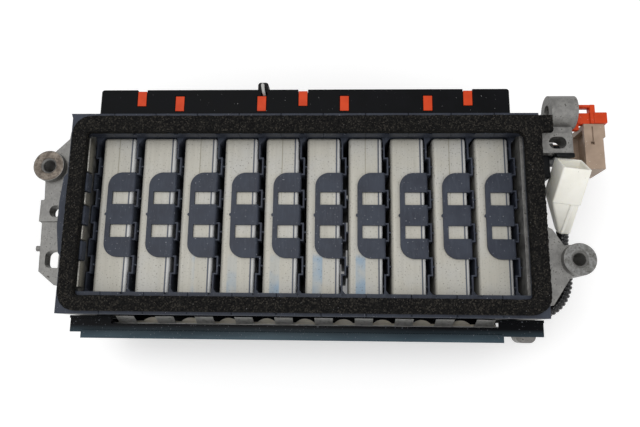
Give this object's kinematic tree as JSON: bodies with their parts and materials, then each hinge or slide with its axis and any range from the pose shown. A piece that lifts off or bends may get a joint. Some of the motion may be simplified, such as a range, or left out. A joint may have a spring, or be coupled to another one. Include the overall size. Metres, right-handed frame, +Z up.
{
  "type": "ev battery module",
  "caption": "Air-cooled vehicle battery module: prismatic cells in plastic spacers between cast end plates, with a foam seal round the air inlet.",
  "frame": {"origin": "middle of the air outlet on the underside, in the plane that the module stands on", "axes": "+X along the stack towards the connectors, +Y from the can bottoms towards the terminals, +Z up to the air inlet and its foam seal"},
  "size_m": [0.413, 0.1827, 0.1203],
  "materials": {
    "black_plastic": "matte",
    "orange_plastic": "matte",
    "busbar_copper": "tin plated, satin",
    "can_aluminium": "satin",
    "cast_aluminium": "as cast, matte",
    "spacer_plastic": "matte",
    "seal_foam": "open-cell foam, matte",
    "black_steel": "semi-gloss",
    "tube_plastic": "gloss",
    "tan_plastic": "matte",
    "spring_steel": "satin",
    "plated_steel": "satin",
    "wire_jacket": "satin",
    "white_plastic": "satin",
    "cream_plastic": "matte"
  },
  "bodies": {
    "root": {"busbar_cover": "black_plastic", "busbar_frame": "orange_plastic", "busbars": "busbar_copper", "cell_01": "can_aluminium", "cell_02": "can_aluminium", "cell_03": "can_aluminium", "cell_04": "can_aluminium", "cell_05": "can_aluminium", "cell_06": "can_aluminium", "cell_07": "can_aluminium", "cell_08": "can_aluminium", "cell_09": "can_aluminium", "cell_10": "can_aluminium", "connector_clip": "black_plastic", "end_plate_left": "cast_aluminium", "end_plate_right": "cast_aluminium", "end_spacer_left": "spacer_plastic", "end_spacer_right": "spacer_plastic", "foam_seal": "seal_foam", "front_tie_bar": "black_steel", "harness_socket": "black_plastic", "harness_tube": "tube_plastic", "power_connector": "tan_plastic", "power_connector_lock": "orange_plastic", "pressure_strip": "spring_steel", "rear_tie_rods": "plated_steel", "sense_boot": "black_plastic", "sense_wire": "wire_jacket", "signal_connector": "white_plastic", "spacer_01": "spacer_plastic", "spacer_02": "spacer_plastic", "spacer_03": "spacer_plastic", "spacer_04": "spacer_plastic", "spacer_05": "spacer_plastic", "spacer_06": "spacer_plastic", "spacer_07": "spacer_plastic", "spacer_08": "spacer_plastic", "spacer_09": "spacer_plastic", "terminal_nuts": "plated_steel", "tie_bar_bolts": "plated_steel", "tie_bar_insulator": "cream_plastic", "tie_rod_nuts": "plated_steel"}
  },
  "joints": []
}
